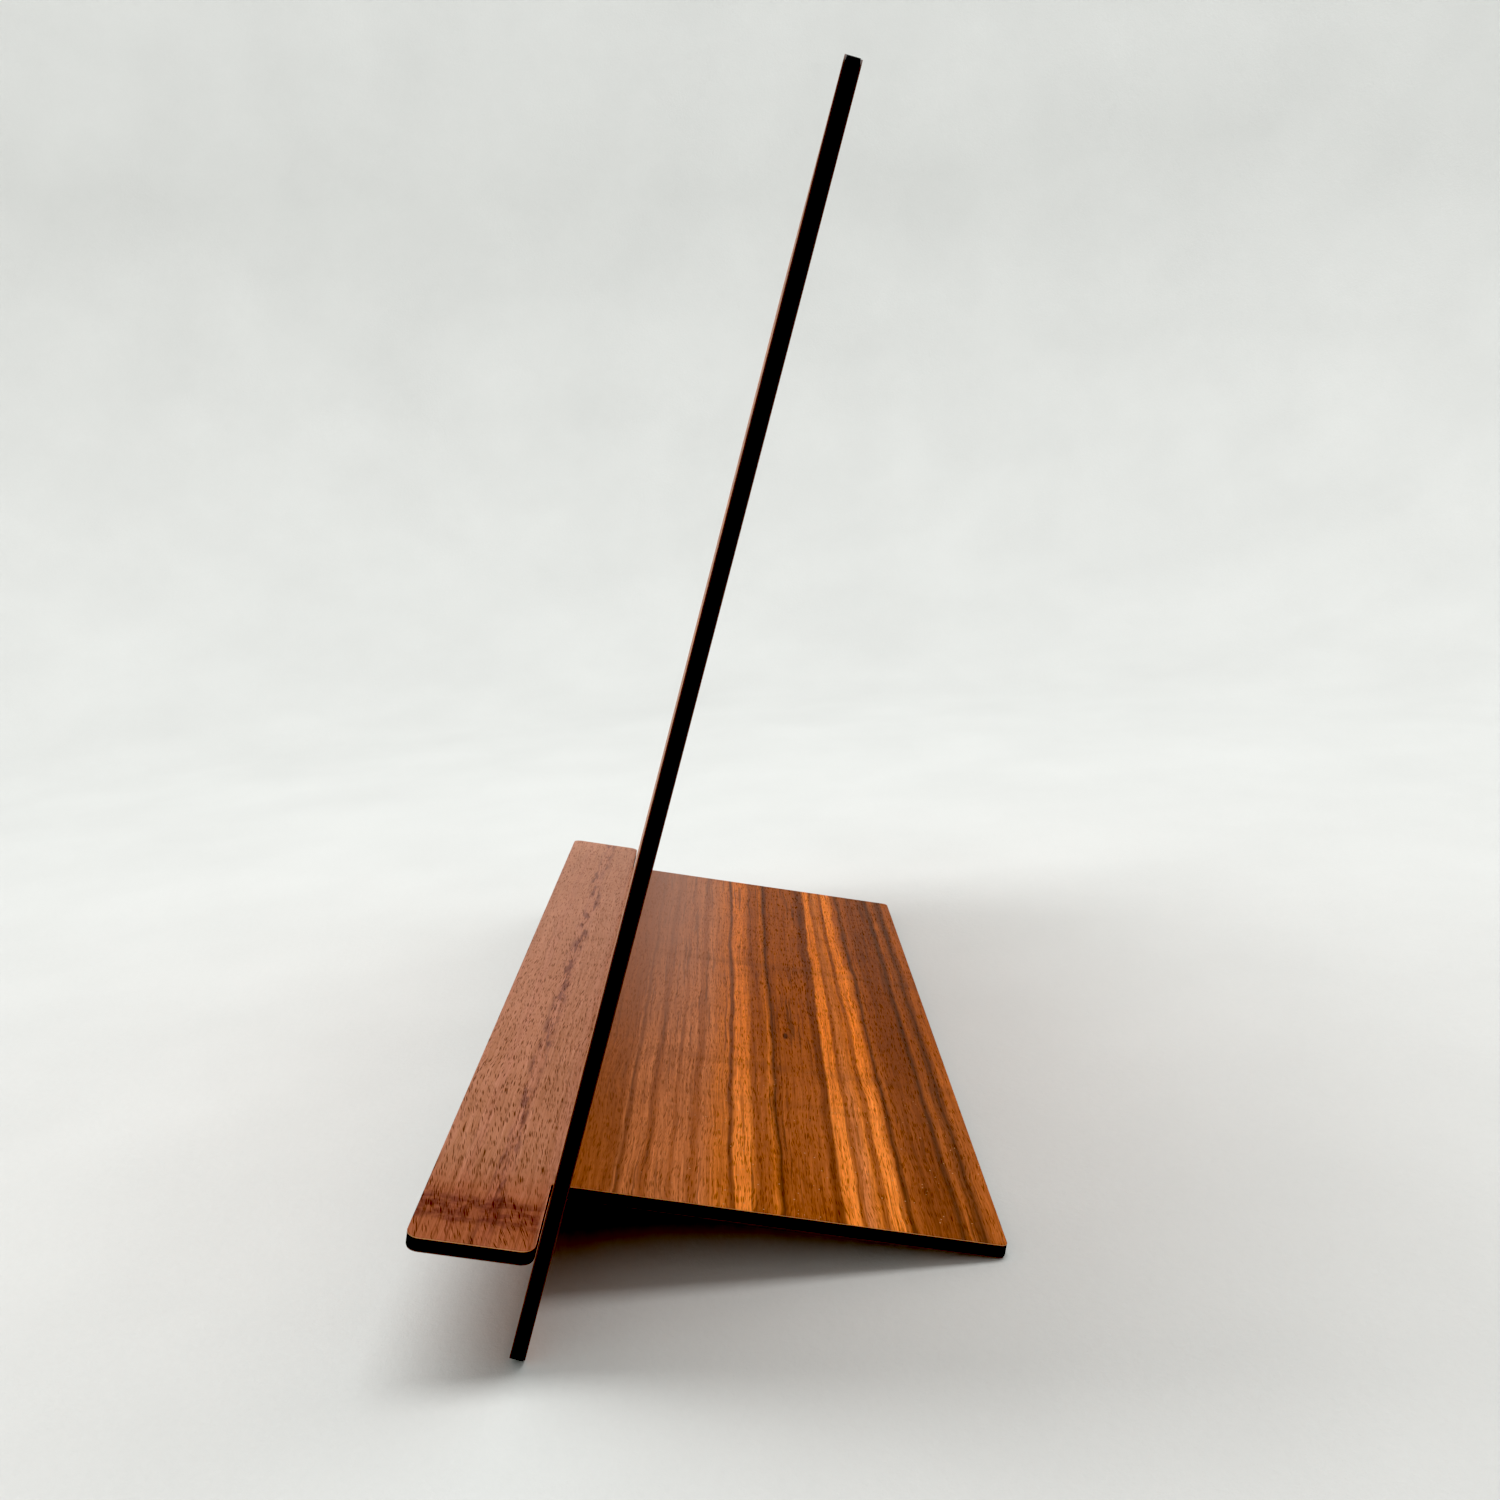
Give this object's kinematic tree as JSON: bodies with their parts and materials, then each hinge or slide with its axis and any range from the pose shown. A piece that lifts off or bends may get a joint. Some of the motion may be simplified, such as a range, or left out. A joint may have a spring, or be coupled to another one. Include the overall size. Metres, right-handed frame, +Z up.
{
  "type": "photo album stand",
  "caption": "Knock-down stand for a photo album: a leaning slotted back panel with a T-shaped base board whose head is the ledge and whose tongue slopes to the floor behind.",
  "frame": {"origin": "on the floor, in the middle of the box around the stand", "axes": "+X from side to side, +Y from the ledge in front to the tongue's end behind, +Z up"},
  "size_m": [0.3, 0.1238, 0.24],
  "materials": {
    "walnut_veneer": "satin lacquered walnut veneer, grain along the width, edges scorched brown by the laser",
    "charred_core": "matt black laser-charred edge of the sheet's core"
  },
  "bodies": {
    "back_panel": {"back_core": "charred_core", "back_front_veneer": "walnut_veneer", "back_rear_veneer": "walnut_veneer"},
    "base_board": {"base_core": "charred_core", "base_top_veneer": "walnut_veneer", "base_bottom_veneer": "walnut_veneer"}
  },
  "joints": [
    {"name": "tongue_slide", "type": "slide", "parent": "back_panel", "child": "base_board", "axis": [0, -0.9763, 0.2164], "range_m": [0, 0.1]}
  ]
}
